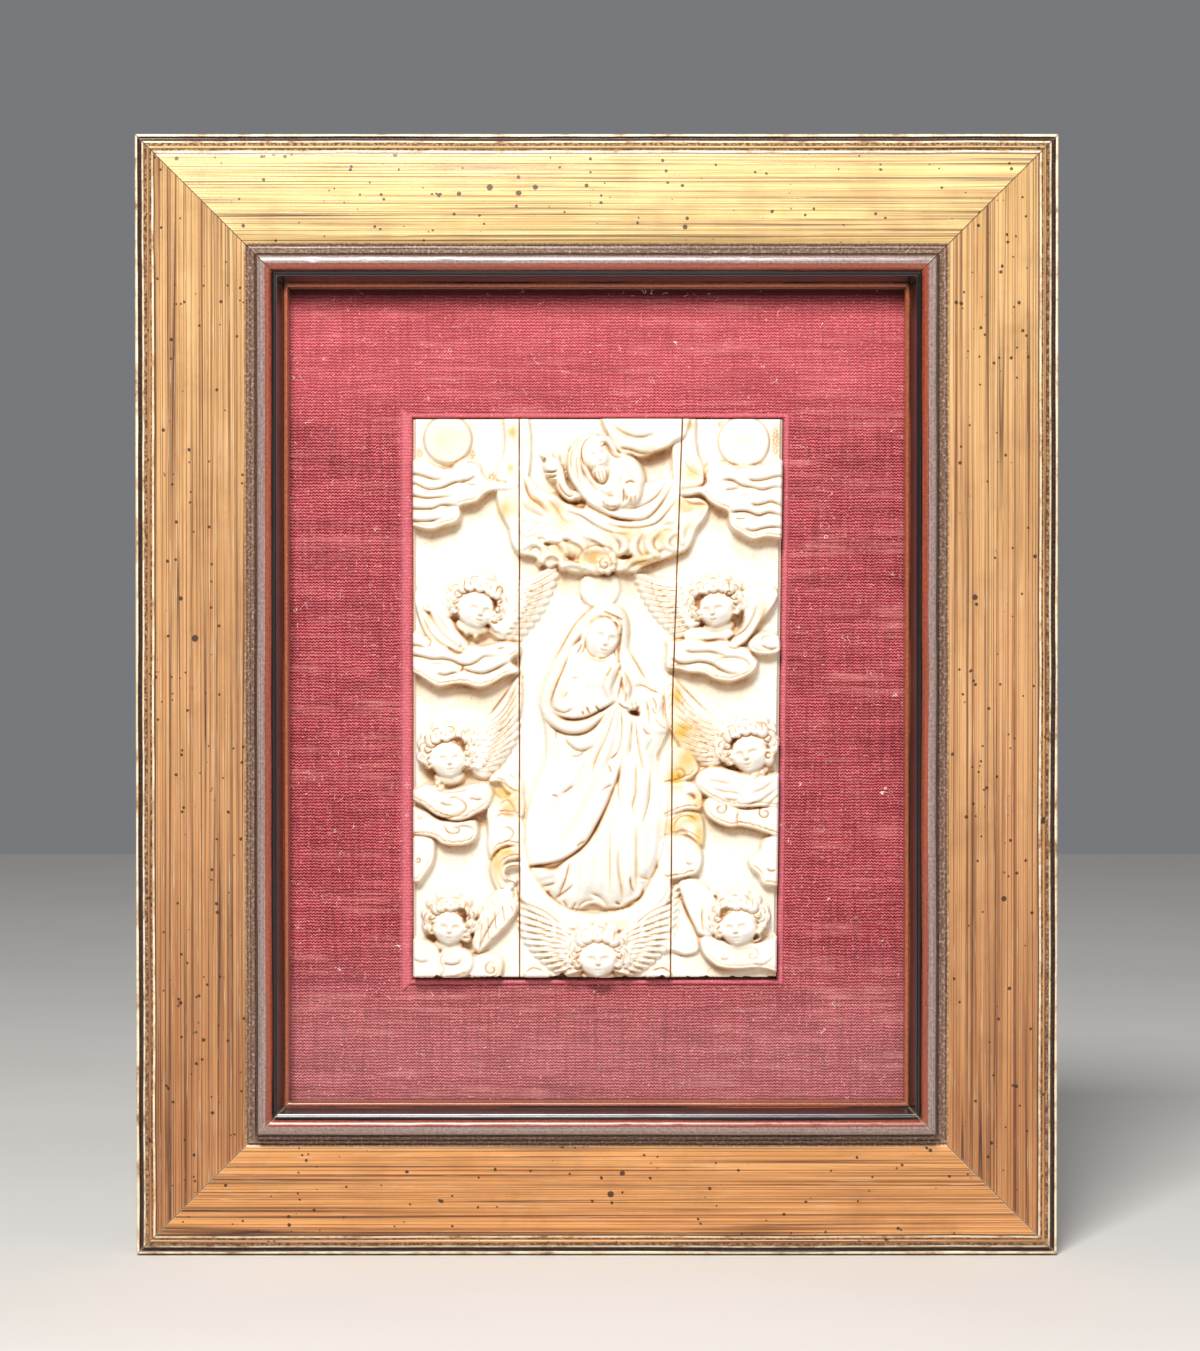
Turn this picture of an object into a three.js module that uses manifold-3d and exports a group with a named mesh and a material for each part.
// A devotional ivory relief of three upright strips, set in a velvet-covered mount inside a
// gilt and lacquer moulding frame, made to hang on a wall. Sizes are in millimetres.
import * as THREE from 'three';
import { mergeVertices } from 'three/addons/utils/BufferGeometryUtils.js';
import Module from 'manifold-3d';

const wasm = await Module();
wasm.setup();

// Driving sizes of the frame
const FRAME_WIDTH = 312;
const FRAME_HEIGHT = 379;
const RAIL_WIDTH = 51;
const REBATE = 8;
const REBATE_DEPTH = 14;
const FIT_GAP = 0.3;

// Heights of the moulding above the wall, from its outer edge to the sight edge
const EDGE_HEIGHT = 17;
const BAND_HEIGHT = 18;
const PANEL_LOW = 19.2;
const PANEL_HIGH = 23;
const CREST_HEIGHT = 28.5;
const SIGHT_HEIGHT = 19.6;

// Distances of the moulding's members from its outer edge
const EDGE_BEAD = 1.4;
const BAND_END = 5.4;
const PANEL_END = 36.5;
const STEP_END = 38.5;
const CREST_START = 40.8;
const CREST_END = 45.4;
const LACQUER_END = 49.5;

// Board thicknesses and the levels of what lies in the rebate
const MOUNT_THICKNESS = 4;
const BACKING_THICKNESS = 4;
const MOUNT_FRONT = REBATE_DEPTH - FIT_GAP;
const MOUNT_BACK = MOUNT_FRONT - MOUNT_THICKNESS;
const BACKING_FRONT = MOUNT_BACK - FIT_GAP;
const BACKING_BACK = BACKING_FRONT - BACKING_THICKNESS;

// Ivory strips: edges measured from the middle of the frame
const IVORY_TOP = 93.9;
const IVORY_BOTTOM = -97.4;
const IVORY_LEFT = -62.9;
const IVORY_RIGHT_TOP = 63.7;
const IVORY_RIGHT_BOTTOM = 61.6;
const JOINT_LEFT = -26.5;
const JOINT_RIGHT_TOP = 29.3;
const JOINT_RIGHT_MIDDLE = 25.9;
const JOINT_RIGHT_BOTTOM = 25.3;
const JOINT_BEND_HEIGHT = -2.4;
const WINDOW_GAP = 0.5;
const WINDOW_TOP_GAP = 1;
const BULGE = 1.1;

// Levels of the carving above the wall
const IVORY_BACK = BACKING_FRONT + FIT_GAP;
const GROUND = 15.5;
const FLOOR = GROUND - 0.6;
const CLIP_TOP = 30;
const LEAST_RISE = -0.3;

// Heights of the relief above the ground, from the lowest member to the highest
const DISC_RISE = 1.6;
const DRAPE_RISE = 2.6;
const LOBE_RISE = 3.2;
const WING_RISE = 3.6;
const CLOUD_RISE = 4;
const BODY_RISE = 4.6;
const FACE_RISE = 5.4;
const FOLD_RISE = 5.8;
const TALL_FACE_RISE = 7;

const BACK_FLAT = RAIL_WIDTH - REBATE;
const CENTRE_DROP = FRAME_HEIGHT / 2 - BACK_FLAT / 2;

const COLOURS = {
  gilt: 0xb08a45,
  velvet: 0x8c2337,
  backing: 0x8a6a48,
  ivory: 0xf3e9d6,
};

// Points along a smooth curve through a few control points, equally spaced
function smooth(controls, steps) {
  const curve = new THREE.CatmullRomCurve3(
    controls.map(([x, y]) => new THREE.Vector3(x, y, 0)),
    false,
    'centripetal',
  );
  return curve.getSpacedPoints(steps).map((p) => [p.x, p.y]);
}

function mix(a, b, t) {
  return a + (b - a) * t;
}

function mixPoint(a, b, t) {
  return [mix(a[0], b[0], t), mix(a[1], b[1], t)];
}

// Points on an elliptical arc, angles in degrees
function arc(cx, cy, rx, ry, from, to, steps) {
  const points = [];
  for (let i = 0; i <= steps; i += 1) {
    const angle = THREE.MathUtils.degToRad(mix(from, to, i / steps));
    points.push([cx + rx * Math.cos(angle), cy + ry * Math.sin(angle)]);
  }
  return points;
}

// Turns every triangle over when the skin was built inside out
function facingOut(positions, index) {
  let volume = 0;
  const corner = (i) => new THREE.Vector3().fromArray(positions, 3 * index[i]);
  for (let i = 0; i < index.length; i += 3) {
    volume += corner(i).dot(corner(i + 1).cross(corner(i + 2)));
  }
  if (volume > 0) {
    return index;
  }
  const turned = [];
  for (let i = 0; i < index.length; i += 3) {
    turned.push(index[i], index[i + 2], index[i + 1]);
  }
  return turned;
}

function skin(positions, index) {
  const geometry = new THREE.BufferGeometry();
  geometry.setAttribute('position', new THREE.Float32BufferAttribute(positions, 3));
  geometry.setIndex(facingOut(positions, index));
  return geometry;
}

// A closed skin over rings with the same number of points; capFaces closes both ends
function loft(rings, capFaces) {
  const size = rings[0].length;
  const last = (rings.length - 1) * size;
  const index = [];
  for (let r = 0; r + 1 < rings.length; r += 1) {
    for (let i = 0; i < size; i += 1) {
      const a = r * size + i;
      const b = r * size + ((i + 1) % size);
      index.push(a, b, a + size, b, b + size, a + size);
    }
  }
  for (const [a, b, c] of capFaces) {
    index.push(a, c, b);
    index.push(last + a, last + b, last + c);
  }
  return skin(rings.flat(2), index);
}

// Triangles that fill an outline, wound the same way as its points
function capOf(outline) {
  const points = outline.map(([x, y]) => new THREE.Vector2(x, y));
  const faces = THREE.ShapeUtils.triangulateShape(points, []);
  const outlineTurn = Math.sign(THREE.ShapeUtils.area(points));
  const faceTurn = Math.sign(THREE.ShapeUtils.area(faces[0].map((i) => points[i])));
  return outlineTurn === faceTurn ? faces : faces.map(([a, b, c]) => [a, c, b]);
}

function toSolid(geometry) {
  const bare = new THREE.BufferGeometry();
  bare.setAttribute('position', geometry.getAttribute('position'));
  bare.setIndex(geometry.getIndex());
  const welded = mergeVertices(bare, 1e-4);
  const vertProperties = new Float32Array(welded.getAttribute('position').array);
  const triVerts = new Uint32Array(welded.getIndex().array);
  return new wasm.Manifold(new wasm.Mesh({ numProp: 3, vertProperties, triVerts }));
}

function toGeometry(solid) {
  const mesh = solid.getMesh();
  const geometry = new THREE.BufferGeometry();
  geometry.setAttribute('position', new THREE.BufferAttribute(mesh.vertProperties, 3));
  geometry.setIndex(new THREE.BufferAttribute(mesh.triVerts, 1));
  return geometry;
}

// Relief members: each starts under the ground and rises to a height above it

// A solid under a grid of points [x, y, height above the ground], one row after another
function blanket(rows) {
  const wide = rows[0].length;
  const count = rows.length * wide;
  const top = rows.flat().map(([x, y, height]) => [x, y, GROUND + height]);
  const under = top.map(([x, y]) => [x, y, FLOOR]);
  const index = [];
  for (let r = 0; r + 1 < rows.length; r += 1) {
    for (let c = 0; c + 1 < wide; c += 1) {
      const a = r * wide + c;
      index.push(a, a + 1, a + wide, a + 1, a + wide + 1, a + wide);
      index.push(count + a, count + a + wide, count + a + 1);
      index.push(count + a + 1, count + a + wide, count + a + wide + 1);
    }
  }
  const border = [];
  for (let c = 0; c + 1 < wide; c += 1) border.push(c);
  for (let r = 0; r + 1 < rows.length; r += 1) border.push(r * wide + wide - 1);
  for (let c = wide - 1; c > 0; c -= 1) border.push((rows.length - 1) * wide + c);
  for (let r = rows.length - 1; r > 0; r -= 1) border.push(r * wide);
  border.forEach((a, i) => {
    const b = border[(i + 1) % border.length];
    index.push(a, count + a, b, b, count + a, count + b);
  });
  return toSolid(skin([...top, ...under].flat(), index));
}

// A fluted strip between two edges: rounded ribs side by side with valleys between them
function ribs(edgeA, edgeB, height, options = {}) {
  const { count = 1, valley = 0, steps = 6, start = 0.6, end = 0.6 } = options;
  const { sides = count > 1 ? 2 : 3 } = options;
  const a = smooth(edgeA, steps);
  const b = smooth(edgeB, steps);
  const section = [];
  for (let j = 0; j <= count * sides; j += 1) {
    const swell = Math.abs(Math.sin((Math.PI * j) / sides));
    section.push([j / (count * sides), mix(valley, 1, swell)]);
  }
  const rows = [];
  for (let k = 0; k <= steps; k += 1) {
    const t = k / steps;
    const fade = Math.min(1, mix(start, 1, 4 * t), mix(end, 1, 4 * (1 - t)));
    rows.push(section.map(([across, rise]) => [
      ...mixPoint(a[k], b[k], across),
      LEAST_RISE + height * fade * rise,
    ]));
  }
  return blanket(rows);
}

// The two edges of a stroke that follows a path and narrows towards its ends
function strokeEdges(path, width, startWidth, endWidth, steps) {
  const points = smooth(path, steps);
  const left = [];
  const right = [];
  for (let k = 0; k <= steps; k += 1) {
    const before = points[Math.max(0, k - 1)];
    const after = points[Math.min(steps, k + 1)];
    const length = Math.hypot(after[0] - before[0], after[1] - before[1]);
    const normal = [(before[1] - after[1]) / length, (after[0] - before[0]) / length];
    const t = k / steps;
    const spread = 0.5 * width * Math.min(1, mix(startWidth, 1, 2 * t), mix(endWidth, 1, 2 * (1 - t)));
    left.push([points[k][0] + normal[0] * spread, points[k][1] + normal[1] * spread]);
    right.push([points[k][0] - normal[0] * spread, points[k][1] - normal[1] * spread]);
  }
  return [left, right];
}

// One rounded fold, lock or sleeve along a path
function fold(path, width, height, options = {}) {
  const { startWidth = 0.5, endWidth = 0.5, steps = 3, start = 0.5, end = 0.5 } = options;
  const [left, right] = strokeEdges(path, width, startWidth, endWidth, steps);
  return ribs(left, right, height, { steps, start, end });
}

// A solid of revolution about the line of sight; profile is [share of radius, share of height]
function button(x, y, rx, ry, height, profile, around, turn = 0) {
  const full = GROUND - FLOOR + height;
  const geometry = new THREE.LatheGeometry(profile.map(([r, h]) => new THREE.Vector2(r, h)), around);
  geometry.rotateX(Math.PI / 2);
  geometry.scale(rx, ry, full);
  geometry.rotateZ(THREE.MathUtils.degToRad(turn));
  geometry.translate(x, y, FLOOR);
  return toSolid(geometry);
}

// A low rounded mound with an elliptical plan, turned by an angle in degrees
function mound(x, y, rx, ry, height, options = {}) {
  const { turn = 0, around = 7, rings = 2 } = options;
  const profile = [[0, 0], [1, 0]];
  for (let i = 1; i < rings; i += 1) {
    const angle = (Math.PI / 2) * (i / rings);
    profile.push([Math.cos(angle), Math.sin(angle)]);
  }
  profile.push([0, 1]);
  return button(x, y, rx, ry, height, profile, around, turn);
}

// A scroll: a round lobe with a sunk ring around its middle
function scroll(x, y, radius, height) {
  const profile = [[0, 0], [1, 0], [0.74, 1], [0.42, 0.66], [0, 0.96]];
  return button(x, y, radius, radius, height, profile, 7);
}

// A small wedge that narrows from a root to a tip
function wedge(root, tip, width, height) {
  return fold([root, tip], width, height, { startWidth: 0.35, endWidth: 1, steps: 1, start: 0.8, end: 1 });
}

// A wing: feathers side by side, fanned from a short root line to a curve of tips.
// Each laps the next: it is high along one edge and low along the other.
function wing(rootLine, tipLine, count, height, lap) {
  const roots = smooth(rootLine, 3 * count);
  const tips = smooth(tipLine, 3 * count);
  const leaf = [{ across: 0.04, lift: 1 }, { across: 0.5, lift: 0.9 }, { across: 0.96, lift: 0.5 }];
  if (lap < 0) {
    leaf[0].lift = 0.5;
    leaf[2].lift = 1;
  }
  const stations = [{ along: 0, share: 1 }, { along: 0.84, share: 0.9 }, { along: 1, share: 0.45 }];
  const at = (line, spot) => mixPoint(line[Math.floor(spot)], line[Math.ceil(spot)], spot % 1);
  const rows = stations.map(({ along, share }) => {
    const points = [];
    for (let i = 0; i < count; i += 1) {
      for (const { across, lift } of leaf) {
        const spot = 3 * (i + across);
        const reach = along === 1 && across !== 0.5 ? 0.92 : along;
        const [x, y] = mixPoint(at(roots, spot), at(tips, spot), reach);
        points.push([x, y, LEAST_RISE + height * share * lift]);
      }
    }
    return points;
  });
  return blanket(rows);
}

// Curls around the top and sides of a head: a wreath with scallops
function hairWreath(x, y, rx, ry, height, options) {
  const { turn, hairFrom, hairTo, curls, hairWidth } = options;
  const steps = 2 * curls;
  const rows = [];
  for (let k = 0; k <= steps; k += 1) {
    const angle = THREE.MathUtils.degToRad(turn + mix(hairFrom, hairTo, k / steps));
    const lobe = k % 2 === 1 ? 1 : 0.88;
    rows.push([0.8, 1.08, 1.4].map((ring, j) => {
      const reach = j < 1 ? ring : ring * lobe;
      const rise = [0.95, 1.1, 0.3][j] * lobe;
      return [
        x + rx * hairWidth * reach * Math.cos(angle),
        y + ry * (reach * Math.sin(angle)),
        LEAST_RISE + height * rise,
      ];
    }));
  }
  return blanket(rows);
}

// A child's head: oval face with a small nose under a wreath of curls
function cherubHead(x, y, rx, ry, options = {}) {
  const { turn = 0, hairFrom = -15, hairTo = 195, hairWidth = 1.05 } = options;
  const curls = 4;
  const height = FACE_RISE;
  const radians = THREE.MathUtils.degToRad(turn);
  const place = (dx, dy) => [
    x + dx * Math.cos(radians) - dy * Math.sin(radians),
    y + dx * Math.sin(radians) + dy * Math.cos(radians),
  ];
  return [
    mound(x, y, rx, ry, height, { turn, around: 8, rings: 3 }),
    wedge(place(0, ry * 0.25), place(0, -ry * 0.28), rx * 0.45, height + 0.6),
    hairWreath(x, y, rx, ry, height, { turn, hairFrom, hairTo, curls, hairWidth }),
  ];
}

// A disc with a slightly domed face
function disc(x, y, radius, height) {
  return button(x, y, radius, radius, height, [[0, 0], [1, 0], [0.97, 0.82], [0, 1]], 22);
}

// Left strip: disc, wavy clouds and three winged heads. Positions here and in the other strips
// are measured in millimetres right and up from the middle of the frame.
function leftCarving() {
  const parts = [disc(-51, 86.6, 8.4, DISC_RISE)];
  parts.push(ribs(
    [[-63.6, 80], [-55, 79.6], [-46.9, 79.6], [-41, 78.6], [-36.5, 73.6], [-27, 71.8]],
    [[-63.4, 56.2], [-56, 55.7], [-48.8, 58.2], [-42, 64.6], [-36.5, 68], [-27, 69]],
    LOBE_RISE,
    { count: 5, valley: 0.55, steps: 6 },
  ));
  parts.push(ribs(
    [[-31.5, 93], [-31, 84], [-33.5, 76]],
    [[-26.4, 93], [-26.3, 84], [-26.2, 74]],
    DRAPE_RISE,
  ));

  parts.push(...cherubHead(-42.2, 30.6, 6.4, 6.8, { turn: -12, hairFrom: -25, hairTo: 205 }));
  parts.push(wing([[-54, 37], [-50, 30]], [[-61.5, 27], [-57, 20], [-49, 13.5]], 5, WING_RISE, 1));
  parts.push(mound(-57, 33.5, 5.2, 4.2, 3.8, { turn: -20 }));
  parts.push(ribs(
    [[-63.2, 20.2], [-55.6, 21], [-48.4, 16.8], [-40.7, 17.2], [-33.9, 18], [-25.4, 15.6]],
    [[-63, 6], [-54, 2.1], [-46, 2.8], [-38.7, 1.6], [-31.5, 4.7], [-25.4, 8.1]],
    CLOUD_RISE,
    { count: 3, valley: 0.5, steps: 7 },
  ));

  parts.push(...cherubHead(-50.8, -21.6, 5.8, 7, { hairFrom: -10, hairTo: 190, hairWidth: 1.3 }));
  parts.push(ribs(
    [[-63.2, -30.4], [-52, -29.6], [-41, -29.8], [-34.8, -33]],
    [[-63.2, -42.5], [-53.6, -42.5], [-44, -43.4], [-36.4, -38.4]],
    CLOUD_RISE,
    { count: 2, valley: 0.5, steps: 7 },
  ));
  parts.push(ribs(
    [[-63.2, -41.5], [-52, -42], [-43.1, -42], [-39.4, -44]],
    [[-63.2, -49], [-56, -49.4], [-48, -52.6], [-39.6, -48.6]],
    LOBE_RISE,
    { steps: 6 },
  ));
  parts.push(scroll(-49.1, -46.1, 3, 4), mound(-48.8, -36.4, 4, 2.6, 5.2));
  parts.push(mound(-59.6, -57, 4.4, 7.8, 3), scroll(-58.6, -60.2, 2.8, 3.9));
  for (let i = 0; i < 4; i += 1) {
    parts.push(mound(-32.4 + 0.5 * i, -31 - 9.4 * i, 5.2, 5.8, LOBE_RISE + 0.3 * (i % 2)));
  }
  parts.push(scroll(-29.2, -61.8, 3.1, 4.6));

  parts.push(...cherubHead(-50, -79.2, 5.9, 6.8, { turn: -8, hairFrom: -20, hairTo: 195, hairWidth: 1.3 }));
  parts.push(wing(
    [[-30, -70], [-39, -71.5]],
    [[-27.6, -76], [-33.3, -83], [-40.4, -88.4]],
    5,
    WING_RISE,
    -1,
  ));
  parts.push(mound(-58.4, -90.6, 4.6, 4.4, 3.4), mound(-47.4, -90.8, 5, 4.6, 3.8));
  parts.push(scroll(-36.6, -93.6, 3.8, 3.4));
  return parts;
}

// Wings that cross the joints between the strips
function crossingCarving() {
  const upperLeft = wing(
    [[-36, 31], [-34, 23]],
    [[-13.2, 43.4], [-15.6, 36], [-19.9, 27.6], [-26.4, 18.6]],
    7,
    WING_RISE,
    -1,
  );
  const upperRight = wing(
    [[34, 31], [32, 24]],
    [[12.8, 41.4], [15.2, 35.4], [18.6, 28.6], [25.8, 21.4]],
    7,
    WING_RISE,
    1,
  );
  return [upperLeft, upperRight];
}

function lowerLeftWing() {
  return wing(
    [[-43, -15], [-41.5, -23]],
    [[-26.6, 5.6], [-26.4, -5.4], [-27.4, -15], [-32, -22.8], [-37, -29]],
    7,
    WING_RISE,
    -1,
  );
}

// Drapery and cloud that carry the bearded figure, spanning all three strips
function bowlOfFolds() {
  return ribs(
    [[-34, 69.6], [-24, 71], [-15, 65.5], [-4, 61.5], [10, 58.8], [20, 62.4], [28.6, 69.6], [38.5, 64.6]],
    [[-33.4, 63], [-29.4, 52], [-20.4, 45.2], [-10, 41.4], [4, 40.9], [14, 41.4], [27, 47.4], [35, 57.6]],
    BODY_RISE,
    { count: 3, valley: 0.6, steps: 9 },
  );
}

// The bearded figure, half length, with one hand raised and drapery flying behind
function beardedFigure() {
  const parts = [];
  parts.push(ribs(
    [[-9.5, 85], [-9.6, 78], [-8.6, 70], [-10.4, 64], [-6, 58]],
    [[6, 87], [13.6, 80.6], [16.2, 73], [15, 65.6], [10, 58]],
    BODY_RISE,
    { steps: 5, sides: 4 },
  ));
  parts.push(mound(-1, 80.4, 5.2, 6.6, TALL_FACE_RISE, { turn: 18, around: 8, rings: 3 }));
  parts.push(wedge([-0.2, 82.4], [0.8, 77.6], 2.4, 7.5));
  parts.push(fold([[-7.4, 86], [-7.6, 79], [-5.4, 71]], 3.4, 6));
  parts.push(fold([[-5.6, 87.4], [-0.5, 88.6], [5, 85.6]], 3.4, 6.2));
  parts.push(fold([[0.4, 75.4], [1.6, 72.4], [4.4, 70]], 4.6, 6.6));
  parts.push(fold([[-15.6, 79], [-14.6, 73.6], [-10.6, 69.6], [-5.6, 67.2]], 5.2, 5));
  parts.push(mound(-15.9, 78, 2.6, 3, 5.2));
  parts.push(fold([[-17.4, 79.4], [-19.4, 82]], 1.5, 4.6, { steps: 2 }));
  parts.push(fold([[-15, 79.8], [-13.4, 82]], 1.4, 4.6, { steps: 2 }));
  parts.push(fold([[14.6, 79], [15.4, 72.6], [12.4, 68.6]], 6.4, 5.6));
  parts.push(mound(5.4, 65.6, 3.4, 2.8, 6), mound(12, 67.6, 3.2, 2.8, 6.2));
  parts.push(ribs(
    [[2.6, 87.6], [10.1, 91.4], [18, 93], [29, 93.6]],
    [[9.6, 82], [15, 80.4], [21, 82], [29, 87.4]],
    3.6,
    { count: 2, valley: 0.55, steps: 7 },
  ));
  for (let i = 0; i < 2; i += 1) {
    const drop = 7.2 * i;
    parts.push(fold([[-26.3, 77 - drop], [-20, 70.4 - drop], [-14, 68.4 - drop], [-8, 66 - drop]], 3, 3.6));
  }
  return parts;
}

// The robed figure: round plate behind the head, veil, praying hands, mantle and gown
function robedFigure() {
  const parts = [disc(1.1, 36, 7.2, DISC_RISE)];
  parts.push(ribs(
    [[0, 31], [-6, 24.4], [-10.6, 14.6], [-16.6, 7], [-19.4, -3], [-18.4, -20], [-20.4, -40], [-23.4, -58]],
    [[8, 30.4], [11, 24], [11.4, 14], [17, 5], [21.6, -2], [24, -20], [24, -42], [17.8, -64]],
    BODY_RISE,
    { steps: 8, sides: 4, start: 0.75, end: 0.7 },
  ));
  parts.push(ribs(
    [[-23, -56.5], [-19.6, -66.4], [-12, -71.8], [-1.7, -74.4]],
    [[8, -50], [16, -56], [18.4, -64], [14.4, -70.6]],
    3.4,
    { steps: 5, sides: 4 },
  ));
  parts.push(mound(1.8, 19.2, 5.4, 7, TALL_FACE_RISE, { turn: -13, around: 8, rings: 3 }));
  parts.push(wedge([2.2, 21.2], [1.4, 16.4], 2.4, 7.7));
  const veilRim = [[-11, 12], [-6.6, 21], [-1, 27.4], [5, 29.6], [9.6, 26.6], [10.6, 17]];
  parts.push(fold(veilRim, 3.6, 6.2, { steps: 8 }));
  parts.push(fold([[7.2, -3], [7.4, 3], [9, 10.8]], 5, 7, { steps: 3, endWidth: 0.35 }));
  parts.push(fold([[-17, -3], [-13, -6.6], [-4, -5.4], [5.6, -1.6]], 6.6, FOLD_RISE));
  parts.push(fold([[19, 1], [17, -3.6], [9.6, -2.6]], 6.4, FOLD_RISE));
  parts.push(fold([[12.4, 12], [15.6, 4.6], [20.4, -1.4]], 4.4, FOLD_RISE));
  parts.push(fold([[-17.4, -9], [-10.8, -13.8], [-4, -13.4], [5.6, -4.6]], 3.2, FOLD_RISE));
  parts.push(fold([[-13.6, -12.6], [-8.2, -19.4], [-3, -19.2], [3.6, -11]], 2.8, FOLD_RISE));
  const foldCount = 4;
  for (let i = 0; i < foldCount; i += 1) {
    const t = i / (foldCount - 1);
    const top = [mix(-15.8, 13.4, t), mix(-22, -8, t)];
    const foot = [mix(-19.4, 19, t), mix(-56, -52, t)];
    const middle = mixPoint(top, foot, 0.5);
    parts.push(fold([top, [middle[0] + mix(1.6, -1.2, t), middle[1]], foot], 3.4, FOLD_RISE, { steps: 2 }));
  }
  parts.push(fold([[-23, -58.6], [-14.9, -57.8], [-8, -55], [-2, -48.6], [3, -38]], 2.4, 5.4, { steps: 6 }));
  for (let i = 0; i < 3; i += 1) {
    const hemFold = [[-9 + 10 * i, -57], [-11 + 11 * i, -64], [-10 + 10.6 * i, -70.6]];
    parts.push(fold(hemFold, 3.4, 4.4, { steps: 2 }));
  }
  return parts;
}

// The crescent under the gown and the winged head below it
function crescentAndHead() {
  const parts = [ribs(
    arc(-0.4, -49.4, 25.2, 25.4, 184, 356, 8),
    arc(-0.6, -48.8, 28.6, 32.2, 180, 360, 8),
    CLOUD_RISE,
    { steps: 10 },
  )];
  parts.push(...cherubHead(0.4, -89.8, 6.2, 7.2, { hairFrom: 5, hairTo: 175 }));
  for (const side of [-1, 1]) {
    parts.push(wing(
      [[side * 9, -82], [side * 7.4, -92]],
      [[side * 25.8, -74.6], [side * 25.2, -84], [side * 20, -91.6], [side * 12.4, -96.6]],
      7,
      WING_RISE,
      side,
    ));
  }
  return parts;
}

// Right strip: disc, wavy clouds and three winged heads
function rightCarving() {
  const parts = [disc(50.6, 86.6, 8.6, DISC_RISE)];
  parts.push(ribs(
    [[28, 71], [37.4, 75.8], [43.6, 78.6], [54.2, 79.2], [64.4, 79.6]],
    [[28, 67.6], [38.6, 65], [45, 59.6], [50, 53.4], [64.2, 52.6]],
    LOBE_RISE,
    { count: 5, valley: 0.55, steps: 6 },
  ));
  parts.push(ribs([[30.3, 93.4], [30.4, 84], [29.4, 76]], [[34.8, 93], [34.4, 84], [36, 77]], DRAPE_RISE));

  parts.push(...cherubHead(40.6, 30.2, 6.4, 6.6, { turn: 14, hairFrom: -25, hairTo: 205 }));
  parts.push(wing([[52.6, 36.4], [48, 29]], [[61.4, 28.4], [56, 20.6], [48, 15.8]], 5, WING_RISE, -1));
  parts.push(mound(57, 34.6, 5.4, 4, 3.8, { turn: 15 }));
  parts.push(ribs(
    [[25.4, 17.8], [35, 18.4], [44.5, 18.2], [51.8, 17.4], [56, 15]],
    [[25.2, 8.4], [34.9, 7], [42, 4], [48.4, 4.2], [55.6, 9]],
    CLOUD_RISE,
    { count: 2, valley: 0.5, steps: 7 },
  ));
  parts.push(mound(57.6, 17, 5.2, 4, 3.8), scroll(58.2, 16.4, 2.6, 4.6));

  parts.push(...cherubHead(52.4, -19.8, 6.8, 7, { turn: 10, hairFrom: -30, hairTo: 185 }));
  parts.push(wing(
    [[44, -11], [42.6, -20]],
    [[25.8, 4.4], [25.4, -5], [27.4, -14.6], [31.6, -21.4], [36.6, -26.4]],
    7,
    WING_RISE,
    1,
  ));
  parts.push(ribs(
    [[33.2, -29.6], [38, -26.6], [46, -27], [62.6, -27]],
    [[34.3, -33.4], [41, -37.6], [49, -39.4], [62.4, -38.8]],
    CLOUD_RISE,
    { count: 2, valley: 0.5, steps: 6 },
  ));
  parts.push(ribs(
    [[36, -36.4], [44, -38], [52, -39], [62.4, -38]],
    [[36.4, -41.8], [44, -45.6], [52, -46], [62.4, -47.6]],
    LOBE_RISE,
    { steps: 6 },
  ));
  parts.push(scroll(42.8, -40.8, 2.9, 4), scroll(57.2, -41.4, 2.9, 4), mound(57.4, -57, 4.6, 8, 3));
  for (let i = 0; i < 4; i += 1) {
    parts.push(mound(31 - 0.3 * i, -24 - 10 * i, 5.4, 6, LOBE_RISE + 0.3 * (i % 2)));
  }
  parts.push(scroll(28.8, -28.2, 2.9, 4.4), scroll(32.8, -36.6, 2.9, 4.6));

  parts.push(...cherubHead(48.6, -79.4, 7, 6.9, { turn: 10, hairFrom: -30, hairTo: 190 }));
  parts.push(wing([[29, -66.4], [37.6, -68.6]], [[26, -80], [29.6, -84], [35.2, -84.4]], 5, WING_RISE, 1));
  parts.push(mound(43.4, -91, 5.2, 4.2, 3.4), mound(55.2, -90.6, 5.4, 4.2, 3.6), scroll(49, -93, 3, 3.2));
  return parts;
}

// Joint between the centre and right strips, set off sideways
function rightJoint(offset) {
  return [
    [JOINT_RIGHT_BOTTOM + offset, IVORY_BOTTOM],
    [JOINT_RIGHT_MIDDLE + offset, JOINT_BEND_HEIGHT],
    [JOINT_RIGHT_TOP + offset, IVORY_TOP],
  ];
}

// A prism over a plan outline between two levels
function prism(outline, low, high, holes = []) {
  const shape = new THREE.Shape(outline.map(([x, y]) => new THREE.Vector2(x, y)));
  for (const hole of holes) {
    shape.holes.push(new THREE.Path(hole.map(([x, y]) => new THREE.Vector2(x, y))));
  }
  const geometry = new THREE.ExtrudeGeometry(shape, { depth: high - low, bevelEnabled: false });
  geometry.translate(0, 0, low);
  return geometry;
}

// One strip: its flat slab with the members that fall inside its own edges
function ivoryStrip(leftEdge, rightEdge, leftBulge, rightBulge, parts) {
  const slab = toSolid(prism([...leftEdge, ...[...rightEdge].reverse()], IVORY_BACK, GROUND));
  const grow = (edge, bulge) => {
    const wider = edge.map(([x, y]) => [x + bulge, y]);
    wider[0][1] = IVORY_BOTTOM - WINDOW_GAP;
    wider[wider.length - 1][1] = IVORY_TOP + BULGE;
    return wider;
  };
  const plan = [...grow(leftEdge, leftBulge), ...grow(rightEdge, rightBulge).reverse()];
  const column = toSolid(prism(plan, FLOOR - 0.5, CLIP_TOP));
  const relief = wasm.Manifold.union(parts);
  return toGeometry(slab.add(relief.intersect(column)));
}

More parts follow.
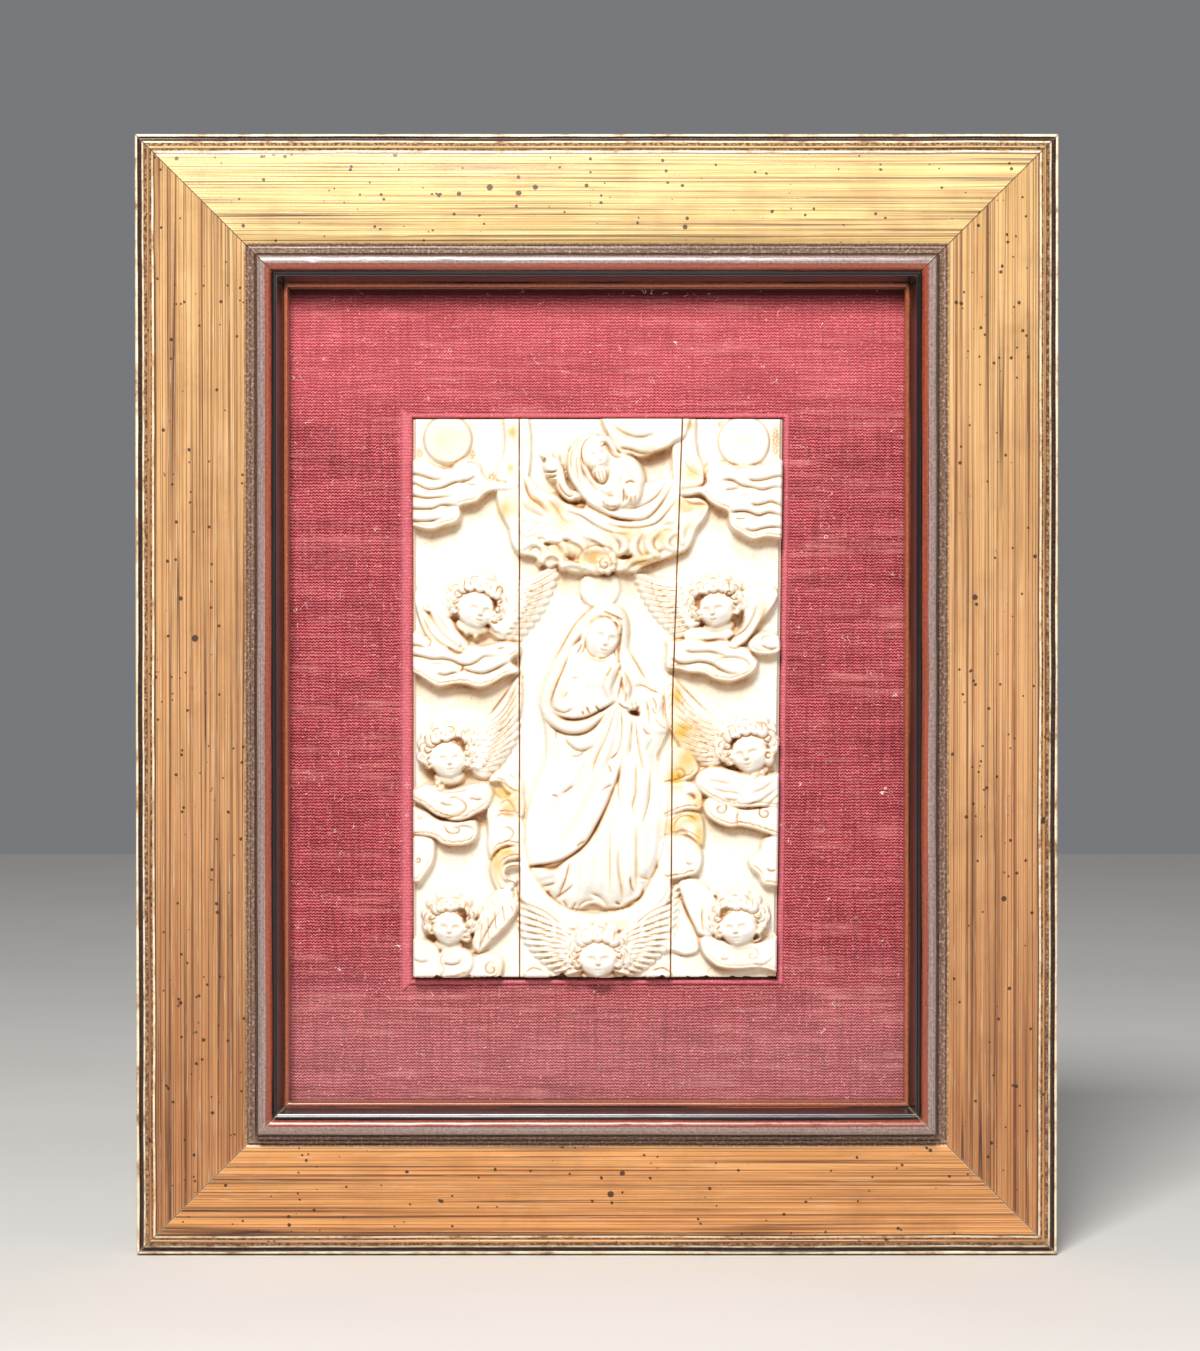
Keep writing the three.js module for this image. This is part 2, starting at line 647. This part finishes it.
function leftStrip(crossing) {
  const half = FIT_GAP / 2;
  return ivoryStrip(
    [[IVORY_LEFT, IVORY_BOTTOM], [IVORY_LEFT, IVORY_TOP]],
    [[JOINT_LEFT - half, IVORY_BOTTOM], [JOINT_LEFT - half, IVORY_TOP]],
    -BULGE,
    0,
    [...leftCarving(), lowerLeftWing(), ...crossing],
  );
}

function centreStrip(crossing) {
  const half = FIT_GAP / 2;
  return ivoryStrip(
    [[JOINT_LEFT + half, IVORY_BOTTOM], [JOINT_LEFT + half, IVORY_TOP]],
    rightJoint(-half),
    0,
    0,
    [...beardedFigure(), ...robedFigure(), ...crescentAndHead(), ...crossing],
  );
}

function rightStrip(crossing) {
  const half = FIT_GAP / 2;
  return ivoryStrip(
    rightJoint(half),
    [[IVORY_RIGHT_BOTTOM, IVORY_BOTTOM], [IVORY_RIGHT_TOP, IVORY_TOP]],
    0,
    BULGE,
    [...rightCarving(), ...crossing],
  );
}

// Section of the moulding: distance from the outer edge, height above the wall
function mouldingSection() {
  const panelBulge = 0.7;
  const section = [[0, 0]];
  section.push(...arc(EDGE_BEAD, EDGE_HEIGHT, EDGE_BEAD, EDGE_BEAD, 180, 60, 4));
  section.push([EDGE_BEAD + 1, BAND_HEIGHT], [BAND_END - 1.4, BAND_HEIGHT]);
  section.push(...arc(BAND_END - 0.7, BAND_HEIGHT + 0.5, 0.7, 1, 150, 30, 2));
  const panelSteps = 4;
  for (let i = 0; i <= panelSteps; i += 1) {
    const t = i / panelSteps;
    const height = mix(PANEL_LOW, PANEL_HIGH, t) + panelBulge * Math.sin(Math.PI * t);
    section.push([mix(BAND_END + 0.2, PANEL_END, t), height]);
  }
  section.push([PANEL_END + 0.4, PANEL_HIGH + 0.5], [STEP_END, PANEL_HIGH + 0.5]);
  section.push([mix(STEP_END, CREST_START, 0.6), PANEL_HIGH + 1.4]);
  const crestMiddle = (CREST_START + CREST_END) / 2;
  const crestBase = CREST_HEIGHT - 1.9;
  section.push(...arc(crestMiddle, crestBase, (CREST_END - CREST_START) / 2, 1.9, 180, 0, 6));
  section.push([CREST_END + 0.9, crestBase - 1.6], [CREST_END + 2, crestBase - 2]);
  section.push([CREST_END + 2.4, crestBase - 3.4], [LACQUER_END, SIGHT_HEIGHT + 1.2]);
  const sightRadius = (RAIL_WIDTH - LACQUER_END) / 2;
  const sightBead = [LACQUER_END + sightRadius, SIGHT_HEIGHT - sightRadius];
  section.push(...arc(...sightBead, sightRadius, sightRadius, 150, 0, 3));
  section.push([RAIL_WIDTH, REBATE_DEPTH], [BACK_FLAT, REBATE_DEPTH], [BACK_FLAT, 0]);
  return section;
}

// One length of moulding along the top of a frame, mitred at both ends
function mitredRail(outerLength, reach) {
  const section = mouldingSection();
  const end = (side) => section.map(([inward, height]) => [
    side * (outerLength / 2 - inward - FIT_GAP * 0.71),
    reach - inward,
    height,
  ]);
  return loft([end(-1), end(1)], capOf(section)).toNonIndexed();
}

function rail(quarterTurns) {
  const upright = quarterTurns % 2 === 1;
  const length = upright ? FRAME_HEIGHT : FRAME_WIDTH;
  const reach = (upright ? FRAME_WIDTH : FRAME_HEIGHT) / 2;
  const geometry = mitredRail(length, reach);
  geometry.rotateZ((quarterTurns * Math.PI) / 2);
  return geometry;
}

// Half sizes of the boards that lie in the rebate
function boardOutline() {
  const halfWidth = FRAME_WIDTH / 2 - BACK_FLAT - FIT_GAP;
  const halfHeight = FRAME_HEIGHT / 2 - BACK_FLAT - FIT_GAP;
  return [
    [-halfWidth, -halfHeight],
    [halfWidth, -halfHeight],
    [halfWidth, halfHeight],
    [-halfWidth, halfHeight],
  ];
}

function velvetMount() {
  const window = [
    [IVORY_LEFT - WINDOW_GAP, IVORY_BOTTOM - WINDOW_GAP],
    [IVORY_LEFT - WINDOW_GAP, IVORY_TOP + WINDOW_TOP_GAP],
    [IVORY_RIGHT_TOP + WINDOW_GAP, IVORY_TOP + WINDOW_TOP_GAP],
    [IVORY_RIGHT_BOTTOM + WINDOW_GAP, IVORY_BOTTOM - WINDOW_GAP],
  ];
  return prism(boardOutline(), MOUNT_BACK, MOUNT_FRONT, [window]);
}

function backingBoard() {
  return prism(boardOutline(), BACKING_BACK, BACKING_FRONT);
}

// The origin is the middle of the top rail's back; the front faces -Y and the top is +Z
function place(group, name, geometry, colour, roughness, metalness = 0) {
  geometry.translate(0, -CENTRE_DROP, 0);
  geometry.rotateX(Math.PI / 2);
  const material = new THREE.MeshStandardMaterial({ color: colour, roughness, metalness });
  material.flatShading = true;
  const mesh = new THREE.Mesh(geometry, material);
  mesh.name = name;
  group.add(mesh);
}

const group = new THREE.Group();
group.name = 'framed_ivory_carving';
['frame_top', 'frame_left', 'frame_bottom', 'frame_right'].forEach((name, turn) => {
  place(group, name, rail(turn), COLOURS.gilt, 0.45, 0.4);
});
place(group, 'velvet_mount', velvetMount(), COLOURS.velvet, 0.95);
place(group, 'backing_board', backingBoard(), COLOURS.backing, 0.9);

const crossing = [...crossingCarving(), bowlOfFolds()];
place(group, 'ivory_left', leftStrip(crossing), COLOURS.ivory, 0.45);
place(group, 'ivory_centre', centreStrip(crossing), COLOURS.ivory, 0.45);
place(group, 'ivory_right', rightStrip(crossing), COLOURS.ivory, 0.45);

export default group;
